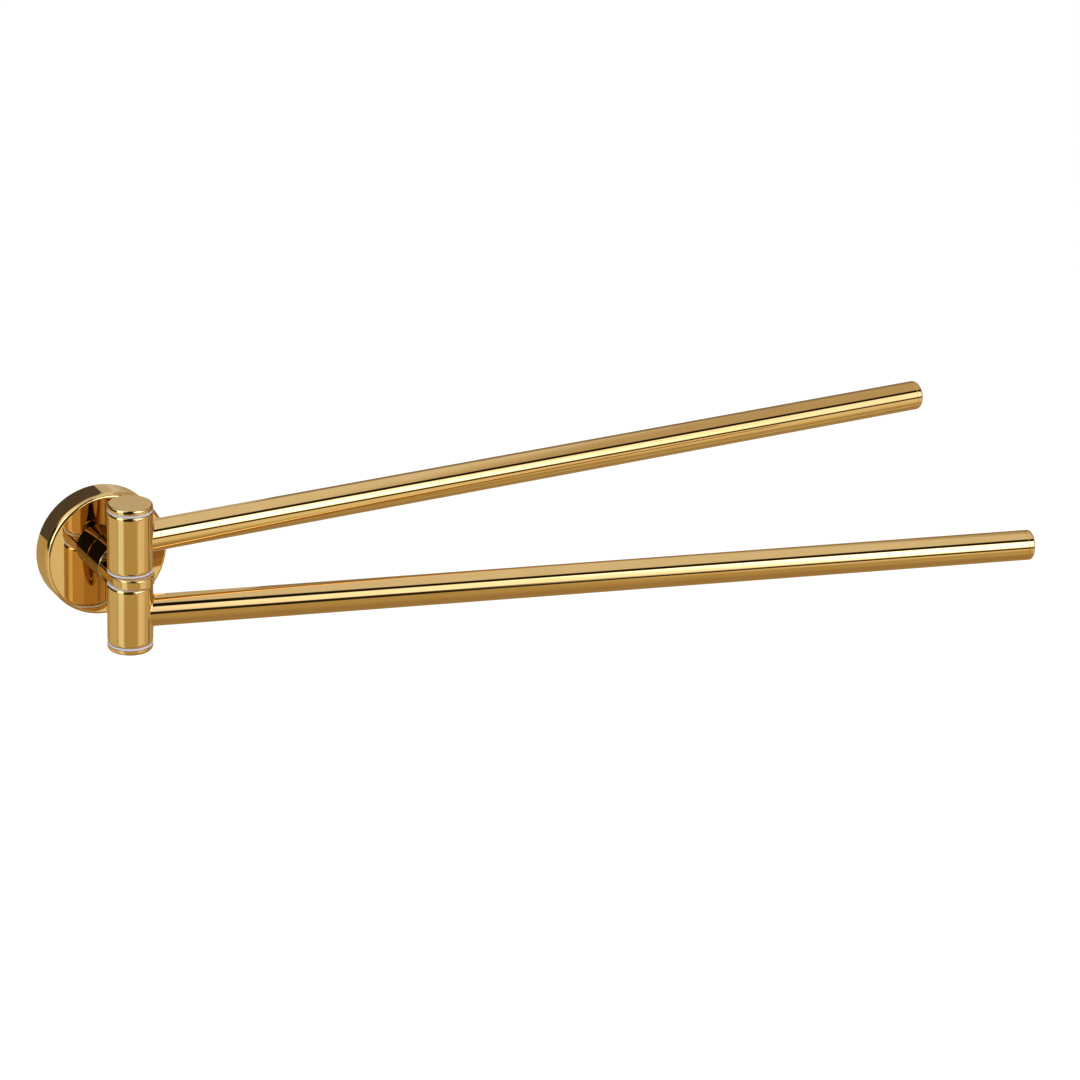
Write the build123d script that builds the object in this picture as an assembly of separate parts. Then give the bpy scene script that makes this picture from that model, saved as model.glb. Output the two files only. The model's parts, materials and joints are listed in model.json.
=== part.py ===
"""Double swing-arm towel bar for a wall.

A round flange hides a steel bracket screwed to the wall.  A stout turned neck stands out
from the flange and ends in a flat eye.  A vertical spindle is pressed through the eye, and
one barrel turns on it above the eye and one below, each with a long tubular arm.  Flanged
plastic bushes carry the barrels, and a screwed cap closes each end of the column.

Frame, in millimetres: the wall is the plane y = 0 and -Y points into the room, +Z is up,
and +X is to the right.  The origin is the middle of the flange, on the wall.
"""
import os
from math import asin, degrees, sqrt

from build123d import *

# ---------------------------------------------------------------- driving dimensions
# Wall flange and bracket
flange_diameter = 57.0
flange_depth = 12.6
flange_face_thickness = 2.6
flange_rim_thickness = 2.5
flange_edge_radius = 2.2
flange_inner_radius = 1.2
bracket_clearance = 0.1
bracket_thickness = 3.0
bracket_rim_thickness = 3.0
bracket_height = 8.5
bracket_rim_chamfer = 0.5
wall_hole_diameter = 5.0
wall_hole_spacing = 32.0
wall_hole_countersink = 9.6

# Neck and eye
pivot_offset = 38.3
neck_inset = 0.4
neck_shoulder_clearance = 2.5
neck_edge_chamfer = 0.4
neck_spigot_diameter = 10.0
spigot_recess = 0.2
eye_thickness = 4.6
eye_nose_offset = 3.2
eye_edge_radius = 0.8
eye_root = 1.0

# Column
barrel_diameter = 20.0
barrel_bore = 12.0
barrel_length = 27.2
barrel_edge_radius = 1.2
barrel_bore_chamfer = 0.3
spindle_diameter = 8.0
bush_flange_thickness = 1.05
bush_flange_inset = 0.1
bush_sleeve_length = 8.0
bush_sleeve_chamfer = 0.4
running_clearance = 0.05
end_play = 0.1
cap_height = 2.2
cap_edge_radius = 1.2
cap_stub_length = 8.0
tap_runout = 1.0

# Arms
arm_reach = 422.5
arm_diameter = 14.0
arm_wall = 1.0
boss_height = 1.0
boss_fillet = 0.8
plug_length = 14.0
stud_length = 12.0
end_cap_length = 3.2
end_cap_edge_radius = 1.2
end_cap_spigot_length = 8.0
end_cap_spigot_wall = 1.2
end_cap_clearance = 0.05
tube_edge_chamfer = 0.15
upper_arm_angle = 3.4
lower_arm_angle = -12.3

# Screws and washers
column_thread = 6.0
thread_clearance = 0.05
thread_chamfer = 0.5
neck_screw_length = 12.0
neck_screw_head_diameter = 10.0
neck_screw_head_height = 3.6
neck_screw_socket = 4.0
flat_washer_diameter = 16.0
flat_washer_thickness = 1.2
lock_washer_diameter = 10.4
lock_washer_thickness = 1.5
lock_washer_split = 1.0
lock_washer_split_angle = 30.0
washer_bore_clearance = 0.2
grub_diameter = 4.0
grub_length = 3.4
grub_tip_radius = 0.6
grub_socket = 2.0
grub_recess = 0.3
groove_clearance = 0.05

# ---------------------------------------------------------------- derived sizes
flange_radius = flange_diameter / 2
cavity_radius = flange_radius - flange_rim_thickness
cavity_depth = flange_depth - flange_face_thickness
bracket_radius = cavity_radius - bracket_clearance
barrel_radius = barrel_diameter / 2
neck_radius = barrel_radius - neck_inset
shoulder_depth = pivot_offset - barrel_radius - neck_shoulder_clearance
bore_radius = barrel_bore / 2
spindle_radius = spindle_diameter / 2
arm_radius = arm_diameter / 2
tube_inner_radius = arm_radius - arm_wall
thread_radius = column_thread / 2
tapped_radius = thread_radius + thread_clearance
half_eye = eye_thickness / 2
stack_height = 2 * bush_flange_thickness + barrel_length
cap_seat = half_eye + stack_height + end_play
boss_face = barrel_radius + boss_height
tube_end = arm_reach - end_cap_length

# Frames.  Wall pieces are turned about the local Z, which points away from the wall.
WALL = Plane.XZ
COLUMN = Pos(0, -pivot_offset, 0)
ALONG_X = Rot(0, 90, 0)

# Two lengths that differ by less than this are one.
TOLERANCE = 1e-3


# ---------------------------------------------------------------- shared forms
def turned(*profile):
    """Revolve an outline of (radius, height) points about the local Z axis."""
    outline = Plane.XZ * make_face(Polyline(*profile, close=True))
    return revolve(outline, Axis.Z)


def disc(radius, low, high):
    """A plain round bar between two heights on the local Z axis."""
    return Pos(0, 0, low) * Cylinder(radius, high - low, align=(Align.CENTER, Align.CENTER, Align.MIN))


def ring(outer, inner, low, high):
    """A round tube between two heights on the local Z axis."""
    return disc(outer, low, high) - disc(inner, low, high)


def same(first, second):
    """True for two lengths that are equal but for rounding."""
    return abs(first - second) < TOLERANCE


def rims_at(shape, radius, *heights):
    """The circular edges of one radius that lie at any of some heights."""
    circles = shape.edges().filter_by(GeomType.CIRCLE).filter_by(lambda edge: same(edge.radius, radius))
    return circles.filter_by(
        lambda edge: any(same(edge.center(CenterOf.BOUNDING_BOX).Z, height) for height in heights)
    )


def hex_socket(across_flats, low, high):
    """The hexagonal hole of a socket screw."""
    profile = RegularPolygon(across_flats / 2, 6, major_radius=False)
    return Pos(0, 0, low) * extrude(profile, high - low)


# ---------------------------------------------------------------- wall side
def groove_apex_radius():
    """Radius of the bottom of the vee groove that the grub screw's cone bites into."""
    cone_base = cavity_radius + (flange_rim_thickness - grub_recess) - (grub_length - grub_cone_height())
    return cone_base - grub_diameter / 2 - groove_clearance


def grub_cone_height():
    """Height of the grub screw's 90 degree cone point."""
    return grub_diameter / 2 - grub_tip_radius


def grub_level():
    """Distance from the wall to the grub screw, half way up the bracket's rim."""
    return (bracket_thickness + bracket_height) / 2


def wall_bracket():
    """Steel cup screwed to the wall, with a vee groove round its rim."""
    rim_inside = bracket_radius - bracket_rim_thickness
    groove_depth = bracket_radius - groove_apex_radius()
    level = grub_level()
    body = turned(
        (0, 0),
        (bracket_radius, 0),
        (bracket_radius, level - groove_depth),
        (bracket_radius - groove_depth, level),
        (bracket_radius, level + groove_depth),
        (bracket_radius, bracket_height - bracket_rim_chamfer),
        (bracket_radius - bracket_rim_chamfer, bracket_height),
        (rim_inside, bracket_height),
        (rim_inside, bracket_thickness),
        (0, bracket_thickness),
    )
    hole_radius = wall_hole_diameter / 2
    sink_radius = wall_hole_countersink / 2
    sink = Pos(0, 0, bracket_thickness) * Cone(
        0, sink_radius, sink_radius, align=(Align.CENTER, Align.CENTER, Align.MAX)
    )
    for side in (-1, 1):
        place = Pos(side * wall_hole_spacing / 2, 0, 0)
        body -= place * (disc(hole_radius, 0, bracket_thickness) + sink)
    return WALL * body


def flange_cover():
    """Turned cup that hides the bracket, bored for the neck and tapped for the grub screw."""
    body = turned(
        (neck_spigot_diameter / 2, cavity_depth),
        (cavity_radius, cavity_depth),
        (cavity_radius, 0),
        (flange_radius, 0),
        (flange_radius, flange_depth),
        (neck_spigot_diameter / 2, flange_depth),
    )
    body = fillet(rims_at(body, flange_radius, flange_depth), flange_edge_radius)
    body = fillet(rims_at(body, cavity_radius, cavity_depth), flange_inner_radius)
    grub_hole = disc(grub_diameter / 2, 0, flange_diameter)
    body -= Pos(0, 0, grub_level()) * Rot(90, 0, 0) * grub_hole
    return WALL * body


def flange_grub_screw():
    """Cone-point grub screw under the flange, biting into the bracket's groove."""
    top = grub_length
    cone = grub_cone_height()
    screw = turned(
        (0, 0),
        (grub_tip_radius, 0),
        (grub_diameter / 2, cone),
        (grub_diameter / 2, top),
        (0, top),
    )
    screw -= hex_socket(grub_socket, top - grub_socket, top)
    tip = flange_radius - grub_recess - grub_length
    return WALL * (Pos(0, -tip, grub_level()) * Rot(90, 0, 0) * screw)


# ---------------------------------------------------------------- neck
def neck():
    """Turned neck with a flat shoulder, milled down to a round-nosed eye for the spindle."""
    nose_centre = pivot_offset + eye_nose_offset
    reach = nose_centre + neck_radius
    chamfer_size = neck_edge_chamfer
    bar = turned(
        (0, flange_depth),
        (neck_radius - chamfer_size, flange_depth),
        (neck_radius, flange_depth + chamfer_size),
        (neck_radius, shoulder_depth - chamfer_size),
        (neck_radius - chamfer_size, shoulder_depth),
        (0, shoulder_depth),
    )
    # The eye is as wide as the flats milled on the bar, and its nose is half round in plan.
    flank = sqrt(neck_radius**2 - half_eye**2)
    straight = nose_centre - flank_start()
    plan = Rectangle(2 * flank, straight, align=(Align.CENTER, Align.MIN))
    plan += Pos(0, straight) * Circle(flank)
    slab = extrude(plan, half_eye, both=True)
    flat_rims = slab.edges().filter_by(lambda edge: same(abs(edge.center().Z), half_eye))
    outer_rims = flat_rims.filter_by(lambda edge: edge.center().Y > TOLERANCE)
    slab = fillet(outer_rims, eye_edge_radius)
    eye = Pos(0, 0, flank_start()) * Rot(90, 0, 0) * slab
    spigot = disc(neck_spigot_diameter / 2 - running_clearance, cavity_depth + spigot_recess, flange_depth)
    tapped = disc(tapped_radius, cavity_depth + spigot_recess, cavity_depth + neck_screw_length)
    pin_hole = Pos(0, 0, pivot_offset) * Rot(90, 0, 0) * disc(spindle_radius, -reach, reach)
    return WALL * (bar + eye + spigot - tapped - pin_hole)


def flank_start():
    """Depth inside the neck at which the milled eye begins."""
    return shoulder_depth - neck_edge_chamfer - eye_root


def neck_flat_washer():
    """Plain washer against the inside of the flange's face."""
    bore = thread_radius + washer_bore_clearance
    return WALL * ring(flat_washer_diameter / 2, bore, cavity_depth - flat_washer_thickness, cavity_depth)


def neck_lock_washer():
    """Split spring washer under the head of the neck screw."""
    top = cavity_depth - flat_washer_thickness
    bore = thread_radius + washer_bore_clearance
    body = ring(lock_washer_diameter / 2, bore, top - lock_washer_thickness, top)
    slot = Box(lock_washer_diameter, lock_washer_split, 3 * lock_washer_thickness)
    middle = top - lock_washer_thickness / 2
    split = Pos(lock_washer_diameter / 2, 0, middle) * Rot(lock_washer_split_angle, 0, 0) * slot
    return WALL * (body - split)


def neck_screw():
    """Socket screw that draws the neck against the flange from inside the cavity."""
    seat = cavity_depth - flat_washer_thickness - lock_washer_thickness
    head_radius = neck_screw_head_diameter / 2
    tip = seat + neck_screw_length
    under_head = seat - neck_screw_head_height
    body = turned(
        (0, under_head),
        (head_radius, under_head),
        (head_radius, seat),
        (thread_radius, seat),
        (thread_radius, tip - thread_chamfer),
        (thread_radius - thread_chamfer, tip),
        (0, tip),
    )
    socket = hex_socket(neck_screw_socket, under_head, under_head + neck_screw_head_height / 2)
    return WALL * (body - socket)


# ---------------------------------------------------------------- column
def pivot_spindle():
    """Vertical spindle pressed through the eye, tapped at both ends for the caps."""
    chamfer_size = thread_chamfer
    tap_depth = cap_stub_length + tap_runout
    body = turned(
        (tapped_radius, cap_seat - tap_depth),
        (tapped_radius, cap_seat),
        (spindle_radius - chamfer_size, cap_seat),
        (spindle_radius, cap_seat - chamfer_size),
        (spindle_radius, chamfer_size - cap_seat),
        (spindle_radius - chamfer_size, -cap_seat),
        (tapped_radius, -cap_seat),
        (tapped_radius, tap_depth - cap_seat),
        (0, tap_depth - cap_seat),
        (0, cap_seat - tap_depth),
    )
    return COLUMN * body


def column_cap():
    """Round cap with a threaded stub, seated at height zero and facing up."""
    body = disc(barrel_radius, 0, cap_height)
    body = fillet(rims_at(body, barrel_radius, cap_height), cap_edge_radius)
    stub = turned(
        (0, -cap_stub_length),
        (thread_radius - thread_chamfer, -cap_stub_length),
        (thread_radius, thread_chamfer - cap_stub_length),
        (thread_radius, 0),
        (0, 0),
    )
    return body + stub


def top_cap():
    """Cap on the upper end of the column."""
    return COLUMN * Pos(0, 0, cap_seat) * column_cap()


def bottom_cap():
    """Cap on the lower end of the column."""
    return COLUMN * Pos(0, 0, -cap_seat) * Rot(180, 0, 0) * column_cap()


def flanged_bush():
    """Plastic bush with its flange from height zero up and its sleeve hanging below."""
    bore = spindle_radius + running_clearance
    return turned(
        (bore, -bush_sleeve_length),
        (bore_radius - bush_sleeve_chamfer, -bush_sleeve_length),
        (bore_radius, bush_sleeve_chamfer - bush_sleeve_length),
        (bore_radius, 0),
        (barrel_radius - bush_flange_inset, 0),
        (barrel_radius - bush_flange_inset, bush_flange_thickness),
        (bore, bush_flange_thickness),
    )


# ---------------------------------------------------------------- arms
class Arm:
    """One swinging arm: its barrel on the spindle, and what the barrel carries."""

    def __init__(self, name, stack_foot, angle):
        self.name = name
        self.middle = stack_foot + stack_height / 2
        self.place = COLUMN * Pos(0, 0, self.middle) * Rot(0, 0, angle)

    def barrel(self):
        """Turned barrel with a filleted boss that the tube seats on."""
        half = barrel_length / 2
        body = disc(barrel_radius, -half, half)
        body = fillet(rims_at(body, barrel_radius, half, -half), barrel_edge_radius)
        boss = ALONG_X * disc(arm_radius, 0, boss_face)
        body += boss
        saddle = body.edges().filter_by(lambda edge: is_saddle(edge))
        body = fillet(saddle, boss_fillet)
        body -= disc(bore_radius, -half, half)
        body = chamfer(rims_at(body, bore_radius, half, -half), barrel_bore_chamfer)
        body -= ALONG_X * disc(tapped_radius, 0, boss_face)
        return self.place * body

    def tube(self):
        """Round tube of the arm, from the barrel's boss to the end cap."""
        edge = tube_edge_chamfer
        body = turned(
            (tube_inner_radius, boss_face),
            (arm_radius - edge, boss_face),
            (arm_radius, boss_face + edge),
            (arm_radius, tube_end - edge),
            (arm_radius - edge, tube_end),
            (tube_inner_radius, tube_end),
        )
        return self.place * ALONG_X * body

    def plug(self):
        """Tapped plug brazed into the tube's end."""
        body = ring(tube_inner_radius, tapped_radius, boss_face, boss_face + plug_length)
        return self.place * ALONG_X * body

    def stud(self):
        """Set screw that joins the barrel and the plug."""
        start = bore_radius + thread_chamfer
        body = turned(
            (0, start),
            (thread_radius - thread_chamfer, start),
            (thread_radius, start + thread_chamfer),
            (thread_radius, start + stud_length - thread_chamfer),
            (thread_radius - thread_chamfer, start + stud_length),
            (0, start + stud_length),
        )
        body -= hex_socket(thread_radius, start, start + thread_radius)
        return self.place * ALONG_X * body

    def end_cap(self):
        """Round-edged cap whose hollow spigot plugs the tube."""
        body = disc(arm_radius, tube_end, arm_reach)
        body = fillet(rims_at(body, arm_radius, arm_reach), end_cap_edge_radius)
        spigot_radius = tube_inner_radius - end_cap_clearance
        spigot_start = tube_end - end_cap_spigot_length
        body += ring(spigot_radius, spigot_radius - end_cap_spigot_wall, spigot_start, tube_end)
        return self.place * ALONG_X * body

    def bush(self, side):
        """Flanged bush in the top (side = 1) or the bottom (side = -1) of the barrel."""
        turn = Rot(0, 0, 0) if side > 0 else Rot(180, 0, 0)
        return self.place * Pos(0, 0, side * barrel_length / 2) * turn * flanged_bush()

    def nodes(self):
        """The arm's pieces by name."""
        return {
            f"{self.name}_barrel": self.barrel(),
            f"{self.name}_arm_tube": self.tube(),
            f"{self.name}_arm_plug": self.plug(),
            f"{self.name}_arm_stud": self.stud(),
            f"{self.name}_arm_end_cap": self.end_cap(),
            f"{self.name}_barrel_top_bush": self.bush(1),
            f"{self.name}_barrel_bottom_bush": self.bush(-1),
        }


def is_saddle(edge):
    """True for the edge where the boss leaves the round of the barrel."""
    centre = edge.center(CenterOf.BOUNDING_BOX)
    on_boss = edge.geom_type != GeomType.CIRCLE and edge.geom_type != GeomType.LINE
    return on_boss and centre.X > 0


# ---------------------------------------------------------------- assembly
def build():
    """Every piece of the towel bar by node name."""
    upper_foot = half_eye
    lower_foot = -half_eye - end_play - stack_height
    nodes = {
        "wall_bracket": wall_bracket(),
        "flange_cover": flange_cover(),
        "flange_grub_screw": flange_grub_screw(),
        "neck": neck(),
        "neck_flat_washer": neck_flat_washer(),
        "neck_lock_washer": neck_lock_washer(),
        "neck_screw": neck_screw(),
        "pivot_spindle": pivot_spindle(),
        "top_cap": top_cap(),
        "bottom_cap": bottom_cap(),
    }
    nodes.update(Arm("upper", upper_foot, upper_arm_angle).nodes())
    nodes.update(Arm("lower", lower_foot, lower_arm_angle).nodes())
    return nodes


def wall_contact_angle():
    """Angle of an arm, from the wall's direction, at which its end touches the wall."""
    reach = sqrt(arm_reach**2 + arm_radius**2)
    return degrees(asin(pivot_offset / reach) - asin(arm_radius / reach))


os.makedirs("parts", exist_ok=True)
for name, shape in build().items():
    export_step(shape, f"parts/{name}.step")
print(f"arm touches the wall at {wall_contact_angle():.3f} degrees")
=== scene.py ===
"""Visual model of a wall-mounted towel bar with two swing arms, in mirror-polished gold.

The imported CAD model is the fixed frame: every piece made here rides on one of its bodies.
Turned pieces come off one lathe tree in Geometry Nodes, the barrels are skinned face by
face round their bosses, and what shows little keeps its CAD mesh under its own finish.

Frame, in metres: the wall is the plane y = 0 and -Y points into the room, +Z is up, and +X
is to the right.  The object's sizes below are in millimetres, as on a workshop drawing, and
the studio's are in metres.
"""
from __future__ import annotations

import json
import logging
import math
from dataclasses import dataclass, field, replace
from enum import Enum

import bpy
from mathutils import Matrix, Vector

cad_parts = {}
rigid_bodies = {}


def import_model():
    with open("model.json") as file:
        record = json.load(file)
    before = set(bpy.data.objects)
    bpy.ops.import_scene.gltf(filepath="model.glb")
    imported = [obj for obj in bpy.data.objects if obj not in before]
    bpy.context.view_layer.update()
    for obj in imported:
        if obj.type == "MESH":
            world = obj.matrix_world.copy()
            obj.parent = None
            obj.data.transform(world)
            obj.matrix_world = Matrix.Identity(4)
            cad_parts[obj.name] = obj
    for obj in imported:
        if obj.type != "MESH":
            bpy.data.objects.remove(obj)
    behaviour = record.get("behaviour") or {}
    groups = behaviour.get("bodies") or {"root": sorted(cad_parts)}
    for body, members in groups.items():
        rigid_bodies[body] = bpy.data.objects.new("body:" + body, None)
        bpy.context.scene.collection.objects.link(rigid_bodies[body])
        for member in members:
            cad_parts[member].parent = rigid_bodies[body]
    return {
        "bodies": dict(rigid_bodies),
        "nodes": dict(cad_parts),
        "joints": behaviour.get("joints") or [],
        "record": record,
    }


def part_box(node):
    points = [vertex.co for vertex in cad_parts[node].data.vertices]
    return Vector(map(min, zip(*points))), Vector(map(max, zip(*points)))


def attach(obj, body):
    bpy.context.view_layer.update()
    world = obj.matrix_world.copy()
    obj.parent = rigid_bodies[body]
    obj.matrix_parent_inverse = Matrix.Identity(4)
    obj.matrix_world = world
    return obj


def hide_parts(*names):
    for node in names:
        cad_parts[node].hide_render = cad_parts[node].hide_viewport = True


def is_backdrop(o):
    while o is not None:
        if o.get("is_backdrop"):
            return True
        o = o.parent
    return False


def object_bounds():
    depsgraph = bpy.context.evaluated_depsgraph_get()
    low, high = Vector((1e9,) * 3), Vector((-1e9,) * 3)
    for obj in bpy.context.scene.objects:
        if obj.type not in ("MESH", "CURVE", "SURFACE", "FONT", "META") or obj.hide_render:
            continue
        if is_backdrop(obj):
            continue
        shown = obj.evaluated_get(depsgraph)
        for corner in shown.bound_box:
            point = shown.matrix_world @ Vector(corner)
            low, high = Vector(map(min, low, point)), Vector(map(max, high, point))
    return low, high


MM = 0.001
ROUND_STEPS = 10
LATHE_STEPS = 384
DRILL_STEPS = 64
CREASE = math.radians(28.0)
MERGE_DISTANCE = 1e-7
LOG = logging.getLogger("towel_bar")

Colour = tuple[float, float, float]
Span = tuple[float, float]

WHITE: Colour = (1.0, 1.0, 1.0)
BLACK: Colour = (0.0, 0.0, 0.0)


class Body(Enum):
    """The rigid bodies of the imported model."""

    WALL_SIDE = "wall_side"
    UPPER_ARM = "upper_arm"
    LOWER_ARM = "lower_arm"


class Measure(Enum):
    """How a direction in the studio is measured from the object, in degrees.

    ELEVATION is the height above the horizon, TILT turns round the X axis from straight out of
    the wall over the top, and SIDE leans towards the arms' side.
    """

    ELEVATION = "elevation"
    TILT = "tilt"
    SIDE = "side"


# ---------------------------------------------------------------- node helpers
class Sheet:
    """A node tree with short calls for the nodes that this file uses most."""

    def __init__(self, tree: bpy.types.NodeTree) -> None:
        """Keep the tree that gets the nodes.

        Args:
            tree: The shader or geometry tree.
        """
        self.tree = tree

    def node(self, kind: str, **settings: object) -> bpy.types.Node:
        """Add a node.

        Args:
            kind: The node's class name.
            settings: Attributes to set on it.

        Returns:
            The new node.
        """
        made = self.tree.nodes.new(kind)
        for name, value in settings.items():
            setattr(made, name, value)
        return made

    def feed(self, socket: bpy.types.NodeSocket, source: object) -> None:
        """Link a socket to an output, or set its value when a plain value is given.

        Args:
            socket: The input socket.
            source: An output socket or a plain value.
        """
        if isinstance(source, bpy.types.NodeSocket):
            self.tree.links.new(source, socket)
        else:
            socket.default_value = source

    def math(self, operation: str, *sources: object) -> bpy.types.NodeSocket:
        """Add a Math node.

        Args:
            operation: The node's operation.
            sources: Up to three output sockets or plain values.

        Returns:
            The node's result.
        """
        made = self.node("ShaderNodeMath", operation=operation)
        for socket, source in zip(made.inputs, sources):
            self.feed(socket, source)
        return made.outputs[0]

    def step(
        self, value: object, low: float, high: float, start: float = 0.0, end: float = 1.0
    ) -> bpy.types.NodeSocket:
        """Add a smooth step.

        Args:
            value: The value that is followed.
            low: The value at which the step begins.
            high: The value at which it ends.
            start: The result up to the low value.
            end: The result from the high value on.

        Returns:
            The stepped value.
        """
        made = self.node("ShaderNodeMapRange", interpolation_type="SMOOTHSTEP")
        names = ("Value", "From Min", "From Max", "To Min", "To Max")
        for name, source in zip(names, (value, low, high, start, end)):
            self.feed(made.inputs[name], source)
        return made.outputs["Result"]

    def blend(self, factor: object, under: object, over: object) -> bpy.types.NodeSocket:
        """Mix two colours.

        Args:
            factor: The share of the upper colour.
            under: The lower colour.
            over: The upper colour.

        Returns:
            The mixed colour.
        """
        made = self.node("ShaderNodeMix", data_type="RGBA")
        self.feed(made.inputs["Factor"], factor)
        for socket, source in ((made.inputs[6], under), (made.inputs[7], over)):
            self.feed(socket, rgba(source) if isinstance(source, tuple) else source)
        return made.outputs[2]


def rgba(colour: Colour) -> tuple[float, float, float, float]:
    """A colour with full alpha."""
    return (*colour, 1.0)


# ---------------------------------------------------------------- finishes
HAZE_DETAIL = 2.0
GRAIN_DETAIL = 3.0
MARK_SPAN = (0.3, 0.7)


def grain_group() -> bpy.types.NodeTree:
    """Build the shared surface grain: a broad haze and a fine stretched grain.

    Returns:
        The shader node group "SurfaceGrain".
    """
    group = bpy.data.node_groups.new("SurfaceGrain", "ShaderNodeTree")
    side = group.interface.new_socket
    side("Vector", in_out="INPUT", socket_type="NodeSocketVector")
    side("Haze Scale", in_out="INPUT", socket_type="NodeSocketFloat")
    side("Grain Scale", in_out="INPUT", socket_type="NodeSocketFloat")
    side("Grain Detail", in_out="INPUT", socket_type="NodeSocketFloat")
    side("Haze", in_out="OUTPUT", socket_type="NodeSocketFloat")
    side("Grain", in_out="OUTPUT", socket_type="NodeSocketFloat")
    sheet = Sheet(group)
    source = sheet.node("NodeGroupInput")
    sink = sheet.node("NodeGroupOutput")
    for name, detail in (("Haze", HAZE_DETAIL), ("Grain", source.outputs["Grain Detail"])):
        noise = sheet.node("ShaderNodeTexNoise")
        sheet.feed(noise.inputs["Vector"], source.outputs["Vector"])
        sheet.feed(noise.inputs["Scale"], source.outputs[f"{name} Scale"])
        sheet.feed(noise.inputs["Detail"], detail)
        sheet.feed(sink.inputs[name], sheet.step(noise.outputs["Fac"], *MARK_SPAN))
    return group


@dataclass(frozen=True)
class Finish:
    """One surface finish, from its colour down to its finest marks.

    The colour wanders towards the deeper one with a broad haze.  From a set depth on, in
    millimetres along +Y, a piece is darkened to a set share of its colour: painted shade, standing
    in for the shade of a nook that light can't reach.
    """

    name: str
    colour: Colour
    deeper: Colour
    roughness: float
    roughness_spread: float
    haze_scale: float
    grain_scale: float
    bump: float
    relief: float
    metallic: float = 1.0
    stretch: tuple[float, float, float] = (1.0, 1.0, 1.0)
    painted_shade_from: float | None = None
    painted_shade_tone: float = 1.0

    def material(self, grain: bpy.types.NodeTree) -> bpy.types.Material:
        """Build the finish as a material.

        Args:
            grain: The shared surface grain group.

        Returns:
            The material, with its grain in Object coordinates.
        """
        made = bpy.data.materials.new(self.name)
        made.use_nodes = True
        sheet = Sheet(made.node_tree)
        shader = made.node_tree.nodes["Principled BSDF"]
        place = sheet.node("ShaderNodeTexCoord").outputs["Object"]
        mapping = sheet.node("ShaderNodeMapping")
        sheet.feed(mapping.inputs["Vector"], place)
        mapping.inputs["Scale"].default_value = self.stretch
        marks = sheet.node("ShaderNodeGroup", node_tree=grain)
        sheet.feed(marks.inputs["Vector"], mapping.outputs["Vector"])
        marks.inputs["Haze Scale"].default_value = self.haze_scale
        marks.inputs["Grain Scale"].default_value = self.grain_scale
        marks.inputs["Grain Detail"].default_value = GRAIN_DETAIL
        tone = sheet.blend(marks.outputs["Haze"], self.colour, self.deeper)
        # Painted shade: past the set depth along +Y the colour is darkened towards black, in place of
        # the shade of a nook.
        if self.painted_shade_from is not None:
            depth = sheet.node("ShaderNodeSeparateXYZ")
            sheet.feed(depth.inputs[0], place)
            start = self.painted_shade_from * MM
            share = sheet.step(depth.outputs["Y"], start, start + MM, 0.0, 1.0 - self.painted_shade_tone)
            tone = sheet.blend(share, tone, BLACK)
        sheet.feed(shader.inputs["Base Color"], tone)
        grained = marks.outputs["Grain"]
        rough = sheet.math("MULTIPLY_ADD", grained, self.roughness_spread, self.roughness)
        sheet.feed(shader.inputs["Roughness"], rough)
        relief = sheet.node("ShaderNodeBump")
        relief.inputs["Strength"].default_value = self.bump
        relief.inputs["Distance"].default_value = self.relief
        sheet.feed(relief.inputs["Height"], grained)
        sheet.feed(shader.inputs["Normal"], relief.outputs["Normal"])
        shader.inputs["Metallic"].default_value = self.metallic
        return made


GOLD = Finish(
    "mirror_gold",
    colour=(0.94, 0.65, 0.30),
    deeper=(0.92, 0.62, 0.275),
    roughness=0.022,
    roughness_spread=0.014,
    haze_scale=55.0,
    grain_scale=900.0,
    bump=0.03,
    relief=2e-6,
)
# Painted shade: the neck's gold is darkened to 0.4 near the wall, behind its eye, in place of the dark
# that its nook by the flange mirrors.
GOLD_NECK_PAINTED_SHADE = replace(GOLD, name="mirror_gold_neck_painted_shade", painted_shade_from=-27.0, painted_shade_tone=0.4)
GOLD_CAPS = replace(
    GOLD,
    name="mirror_gold_caps",
    roughness=0.026,
    roughness_spread=0.02,
    haze_scale=60.0,
    grain_scale=1400.0,
    bump=0.04,
)
BUSH = Finish(
    "bush_plastic",
    colour=(0.70, 0.665, 0.73),
    deeper=(0.66, 0.625, 0.70),
    roughness=0.34,
    roughness_spread=0.12,
    haze_scale=240.0,
    grain_scale=1600.0,
    bump=0.12,
    relief=1e-5,
    metallic=0.0,
)
BRACKET = Finish(
    "bracket_steel",
    colour=(0.58, 0.585, 0.60),
    deeper=(0.50, 0.505, 0.52),
    roughness=0.30,
    roughness_spread=0.18,
    haze_scale=60.0,
    grain_scale=420.0,
    bump=0.25,
    relief=1e-5,
    stretch=(1.0, 1.0, 14.0),
)
SCREW = Finish(
    "screw_steel",
    colour=(0.60, 0.61, 0.63),
    deeper=(0.53, 0.54, 0.56),
    roughness=0.24,
    roughness_spread=0.14,
    haze_scale=150.0,
    grain_scale=900.0,
    bump=0.2,
    relief=1e-5,
    stretch=(1.0, 3.0, 1.0),
)
SPINDLE = Finish(
    "spindle_steel",
    colour=(0.66, 0.67, 0.69),
    deeper=(0.60, 0.61, 0.63),
    roughness=0.16,
    roughness_spread=0.12,
    haze_scale=90.0,
    grain_scale=500.0,
    bump=0.2,
    relief=5e-6,
    stretch=(1.0, 1.0, 16.0),
)
PLUG = Finish(
    "plug_brass",
    colour=(0.72, 0.58, 0.32),
    deeper=(0.64, 0.50, 0.26),
    roughness=0.28,
    roughness_spread=0.14,
    haze_scale=120.0,
    grain_scale=700.0,
    bump=0.2,
    relief=1e-5,
    stretch=(8.0, 1.0, 1.0),
)


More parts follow.
